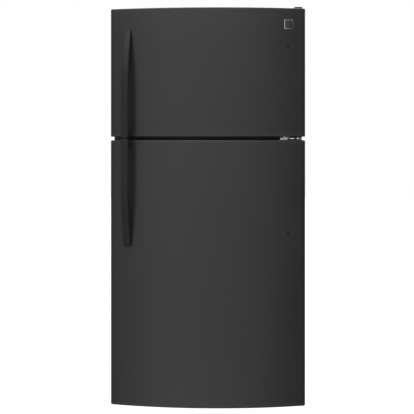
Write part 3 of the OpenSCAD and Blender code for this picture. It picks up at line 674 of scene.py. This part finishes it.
def inset_outline(points, amount):
    """Moves each point of a closed outline inwards by amount along its own normal."""
    mitre_limit, least_cosine = 1.6, 0.35
    area = sum(a[0] * b[1] - b[0] * a[1] for a, b in zip(points, points[1:] + points[:1]))
    turn = 1 if area > 0 else -1
    moved = []
    for i, (y, z) in enumerate(points):
        before, after = Vector(points[i - 1]), Vector(points[(i + 1) % len(points)])
        here = Vector((y, z))
        one, two = (here - before).normalized(), (after - here).normalized()
        normal = Vector((-one.y - two.y, one.x + two.x)).normalized() * turn
        cosine = normal.dot(Vector((-one.y, one.x)) * turn)
        scale = min(mitre_limit, 1 / max(least_cosine, cosine))
        moved.append((y + normal.x * amount * scale, z + normal.y * amount * scale))
    return moved


def build_handle(prefix, gap_z, direction):
    name = prefix + "_bow_handle"
    low, high = box(prefix + "_handle")
    profile = handle_profile(high.z - low.z)
    half = HANDLE_W / 2
    round_r = 4.5 * MM
    levels = []
    for i in range(7):
        a = math.pi / 2 * i / 6
        levels.append((-half + round_r * (1 - math.cos(a)), round_r * (1 - math.sin(a)) + 0.9 * MM))
    levels += [(-half * 0.45, 0.25 * MM), (0.0, 0.0)]
    levels += [(-x, inset) for x, inset in reversed(levels[:-1])]
    rings = []
    for x, inset in levels:
        ring = inset_outline(profile, inset)
        rings.append([(HANDLE_X + x, max(y, low.y), gap_z + direction * max(0.0, s)) for y, s in ring])
    add_piece(
        name, mesh_from(name, *loft(rings)), prefix + "_door", "handle_plastic",
        prefix + "_handle", 40.0)


build_handle("freezer", HANDLE_UP[0].z, 1)
build_handle("fridge", HANDLE_LOW[1].z, -1)


# ---------------------------------------------------------------- turned pieces and plugs

def turned(profile, centre, axis, segments=40):
    """Verts and faces of a turned shape: profile is (distance along axis, radius) pairs."""
    axis = Vector(axis).normalized()
    side = axis.orthogonal().normalized()
    other = axis.cross(side)
    rings = []
    for along, radius in profile:
        ring = []
        for i in range(segments):
            a = 2 * math.pi * i / segments
            ring.append(Vector(centre) + axis * along + (side * math.cos(a) + other * math.sin(a)) * radius)
        rings.append(ring)
    return loft(rings)


def build_hole_plug(prefix, z):
    """Domed plug in the spare handle hole on the hinge side."""
    x = -HANDLE_X
    lean = math.asin(x / CROWN_R)
    axis = (math.sin(lean), -math.cos(lean), 0)
    profile = [(-2, 5.4), (0.0, 5.4), (0.35, 6.3), (0.9, 6.2), (1.5, 5.2), (1.9, 3.1), (2.0, 0.6)]
    profile = [(a * MM, r * MM) for a, r in profile]
    name = prefix + "_hole_plug"
    plug = mesh_from(name, *turned(profile, (x, door_front(x), z), axis, 32))
    add_piece(name, plug, prefix + "_door", "rubber")


build_hole_plug("freezer", HANDLE_UP[1].z - 70 * MM)
build_hole_plug("fridge", HANDLE_LOW[0].z + 60 * MM)


PLATE_DROP = 70.5 * MM
PLATE_OUT = 1.012


def plate_block(name, size, thick, bevel, corner_r, slot):
    """Square plate with round corners on the upper door's face, size from its middle to a side."""
    x, z = -HANDLE_X * PLATE_OUT, FREEZER_CAPS[1].z - PLATE_DROP
    lean = math.asin(x / CROWN_R)
    out = Vector((math.sin(lean), -math.cos(lean), 0))
    side = Vector((math.cos(lean), math.sin(lean), 0))
    centre = Vector((x, door_front(x), z)) - out * 0.4 * MM
    signs = ((1, 1), (-1, 1), (-1, -1), (1, -1))
    rings = []
    bend = bevel * 0.3
    levels = ((0, 0), (thick - bevel, 0), (thick - bend, bend), (thick, bevel))
    for depth, inset in levels:
        ring = []
        for corner, (sx, sz) in enumerate(signs):
            for step in range(7):
                a = math.pi / 2 * (corner + step / 6)
                px = sx * (size - corner_r) + (corner_r - inset) * math.cos(a)
                pz = sz * (size - corner_r) + (corner_r - inset) * math.sin(a)
                ring.append(centre + side * px + Vector((0, 0, pz)) + out * depth)
        rings.append(ring)
    add_piece(name, mesh_from(name, *loft(rings)), "freezer_door", slot, smooth=30.0)


plate_block("blank_plate_rim", 19.5 * MM, 1.3 * MM, 0.5 * MM, 3 * MM, "plated_steel")
plate_block("blank_plate", 18 * MM, 1.7 * MM, 0.5 * MM, 2 * MM, "dark_plastic")


# ---------------------------------------------------------------- gaskets

# Half outline of a gasket's section: (inwards from its outer edge, out from the door), millimetres.
BELLOWS = (
    (1.0, 0.0), (0.4, 0.8), (2.8, 2.0), (3.2, 2.6), (0.8, 4.0), (0.2, 4.8), (2.4, 6.2),
    (2.6, 6.8), (0.6, 7.8), (0.0, 9.2), (0.3, 10.6), (1.4, 11.5), (2.6, 11.7),
)
GASKET_W = 16.0


def build_gasket(prefix):
    """Bellows section carried round the door's rectangle with mitred corners."""
    low, high = box(prefix + "_gasket")
    section = list(BELLOWS) + [(GASKET_W - u, v) for u, v in reversed(BELLOWS)]
    depth = (high.y - low.y) / MM / BELLOWS[-1][1]
    verts, faces = [], []
    for u, v in section:
        u, y = u * MM, low.y + v * depth * MM
        x0, x1, z0, z1 = low.x + u, high.x - u, low.z + u, high.z - u
        verts += [(x0, y, z0), (x1, y, z0), (x1, y, z1), (x0, y, z1)]
    count = len(section)
    for i in range(count):
        j = (i + 1) % count
        for k in range(4):
            n = (k + 1) % 4
            faces.append((4 * i + k, 4 * i + n, 4 * j + n, 4 * j + k))
    name = prefix + "_bellows_gasket"
    add_piece(name, mesh_from(name, verts, faces), prefix + "_door", "gasket", prefix + "_gasket", 50.0)


build_gasket("fridge")
build_gasket("freezer")


# ---------------------------------------------------------------- screws

def build_repeater():
    """Node group that puts a piece on every point, each turned by a different amount."""
    group = bpy.data.node_groups.new("repeat_on_points", "GeometryNodeTree")
    for label, kind in (
        ("Points", "NodeSocketGeometry"), ("Piece", "NodeSocketObject"), ("Spin", "NodeSocketVector"),
        ("Seed", "NodeSocketInt"), ("Finish", "NodeSocketMaterial"),
    ):
        group.interface.new_socket(name=label, in_out="INPUT", socket_type=kind)
    group.interface.new_socket(name="Geometry", in_out="OUTPUT", socket_type="NodeSocketGeometry")
    inp = group.nodes.new("NodeGroupInput")
    out = group.nodes.new("NodeGroupOutput")
    points = group.nodes.new("GeometryNodeMeshToPoints")
    info = group.nodes.new("GeometryNodeObjectInfo")
    info.inputs["As Instance"].default_value = True
    put = group.nodes.new("GeometryNodeInstanceOnPoints")
    chance = group.nodes.new("FunctionNodeRandomValue")
    chance.data_type = "FLOAT_VECTOR"
    turn = group.nodes.new("GeometryNodeRotateInstances")
    real = group.nodes.new("GeometryNodeRealizeInstances")
    paint = group.nodes.new("GeometryNodeSetMaterial")
    highest = [s for s in chance.inputs if s.name == "Max" and s.type == "VECTOR"][0]
    lowest = [s for s in chance.inputs if s.name == "Min" and s.type == "VECTOR"][0]
    lowest.default_value = (0, 0, 0)
    value = [s for s in chance.outputs if s.type == "VECTOR"][0]
    link(group, inp.outputs["Points"], points.inputs["Mesh"])
    link(group, points.outputs["Points"], put.inputs["Points"])
    link(group, inp.outputs["Piece"], info.inputs["Object"])
    link(group, info.outputs["Geometry"], put.inputs["Instance"])
    link(group, put.outputs["Instances"], turn.inputs["Instances"])
    link(group, inp.outputs["Spin"], highest)
    link(group, inp.outputs["Seed"], chance.inputs["Seed"])
    link(group, value, turn.inputs["Rotation"])
    link(group, turn.outputs["Instances"], real.inputs["Geometry"])
    link(group, real.outputs["Geometry"], paint.inputs["Geometry"])
    link(group, inp.outputs["Finish"], paint.inputs["Material"])
    link(group, paint.outputs["Geometry"], out.inputs["Geometry"])
    return group


REPEATER = build_repeater()
REPEATER_INPUTS = {
    item.name: item.identifier for item in REPEATER.interface.items_tree if item.in_out == "INPUT"
}


def repeated(name, places, piece_mesh, spin, seed, body, slot):
    """One piece made of copies of piece_mesh at places, each turned by up to spin."""
    cloud = bpy.data.meshes.new(name + "_points")
    cloud.from_pydata([tuple(p) for p in places], [], [])
    holder = bpy.data.objects.new(name + "_holder", cloud)
    sample = bpy.data.objects.new(name + "_sample", piece_mesh)
    for item in (holder, sample):
        bpy.context.scene.collection.objects.link(item)
    modifier = holder.modifiers.new("repeat", "NODES")
    modifier.node_group = REPEATER
    values = {"Piece": sample, "Spin": spin, "Seed": seed, "Finish": FINISH[slot]}
    for label, value in values.items():
        modifier[REPEATER_INPUTS[label]] = value
    bpy.context.view_layer.update()
    final = baked(holder)
    holder.modifiers.remove(modifier)
    for item in (holder, sample):
        bpy.data.objects.remove(item)
    return add_piece(name, final, body, slot, smooth=35.0)


def screw_mesh(radius, height, axis):
    """Pan head with a six-sided recess; axis points out of the head."""
    axis = Vector(axis).normalized()
    side = axis.orthogonal().normalized()
    other = axis.cross(side)
    levels = (
        (-0.3, 0.98, 0), (0.3, 1.0, 0), (0.75, 0.88, 0), (1.0, 0.62, 0),
        (1.0, 0.46, 1), (0.3, 0.42, 1), (0.3, 0.03, 1),
    )
    rings = []
    for along, wide, six_sided in levels:
        ring = []
        for i in range(36):
            a = 2 * math.pi * i / 36
            r = radius * wide
            if six_sided:
                r *= math.cos(math.pi / 6) / math.cos(a % (math.pi / 3) - math.pi / 6)
            ring.append(axis * along * height + (side * math.cos(a) + other * math.sin(a)) * r)
        rings.append(ring)
    return mesh_from("screw", *loft(rings))


FULL_SPIN = (0, 6.28, 0)
FORWARD = (0, -1, 0)


def add_screws():
    flange, screw_up, screw_xs = 3 * MM, 3.4 * MM, (14, 34)
    low, high = box("mid_hinge")
    middle = (low.z + high.z) / 2
    heads = [(low.x + x * MM, CASE[0].y - flange, middle + screw_up) for x in screw_xs]
    repeated("mid_hinge_screws", heads, screw_mesh(3.3 * MM, 2.0 * MM, FORWARD), FULL_SPIN, 3,
             "cabinet", "plated_steel")
    side_in, end_in = 20 * MM, 30 * MM
    low, high = box("evaporator_cover")
    columns = (low.x + side_in, high.x - side_in)
    rows = (low.z + end_in, high.z - end_in)
    corners = [(x, low.y, z) for x in columns for z in rows]
    repeated("evaporator_cover_screws", corners, screw_mesh(4.5 * MM, 1.8 * MM, FORWARD), FULL_SPIN, 5,
             "cabinet", "plated_steel")
    low, high = box("base_grille")
    end_in = 12 * MM
    z = (low.z + high.z) / 2
    ends = [(low.x + end_in, low.y, z), (high.x - end_in, low.y, z)]
    repeated("base_grille_screws", ends, screw_mesh(3.6 * MM, 1.5 * MM, FORWARD), FULL_SPIN, 8,
             "cabinet", "dark_plastic")


add_screws()


# ---------------------------------------------------------------- carried-over nodes and soft edges

SOFT_EDGES = {
    "outer_case": 0.5, "center_rail": 0.5, "top_hinge_cover": 1.6, "mid_hinge": 0.6,
    "bottom_hinge": 0.6, "top_hinge": 0.6, "base_grille": 0.6, "evaporator_cover": 0.9,
    "air_duct": 0.9, "control_housing": 1.4,
    "light_lens": 1.2, "fridge_dial": 0.9, "freezer_dial": 0.9, "shelf_frames": 1.2, "shelf_glass": 0.5,
    "crisper_cover": 1.2, "crisper_left": 1.0, "crisper_right": 1.0, "humidity_slide_left": 0.8,
    "humidity_slide_right": 0.8, "ice_bin": 0.9, "freezer_door_bins": 1.0, "fridge_door_bins": 1.0,
    "dairy_lid": 0.8, "freezer_door_liner": 2.4, "fridge_door_liner": 2.4,
    "compressor": 0.8, "drain_pan": 0.6, "levelling_leg_left": 0.7, "levelling_leg_right": 0.7,
    "roller_left": 1.2, "roller_right": 1.2, "fridge_switch": 0.6, "freezer_shelf": 0.3,
}

for node_name, edge_mm in SOFT_EDGES.items():
    softened(node_name, edge_mm)

for node_name, node_object in frame["nodes"].items():
    node_object.data.materials.clear()
    node_object.data.materials.append(FINISH[SLOT_OF[node_name]])


# ---------------------------------------------------------------- floor

def add_floor():
    half = 6.0
    corners = [(-half, -half, 0), (half, -half, 0), (half, half, 0), (-half, half, 0)]
    mesh = bpy.data.meshes.new("floor")
    mesh.from_pydata(corners, [], [(0, 1, 2, 3)])
    floor = bpy.data.objects.new("floor", mesh)
    bpy.context.scene.collection.objects.link(floor)
    floor.location.z = -0.1 * MM
    material = bpy.data.materials.new("floor_white")
    material.use_nodes = True
    tree = material.node_tree
    shader = tree.nodes["Principled BSDF"]
    shader.inputs["Base Color"].default_value = (0.8, 0.8, 0.8, 1)
    shader.inputs["Roughness"].default_value = 0.9
    shader.inputs["Specular IOR Level"].default_value = 0.0
    path = tree.nodes.new("ShaderNodeLightPath")
    glow = tree.nodes.new("ShaderNodeEmission")
    link(tree, path.outputs["Is Camera Ray"], glow.inputs["Strength"])
    both = tree.nodes.new("ShaderNodeAddShader")
    link(tree, shader.outputs[0], both.inputs[0])
    link(tree, glow.outputs[0], both.inputs[1])
    link(tree, both.outputs[0], tree.nodes["Material Output"].inputs["Surface"])
    mesh.materials.append(material)
    floor.visible_glossy = False


add_floor()
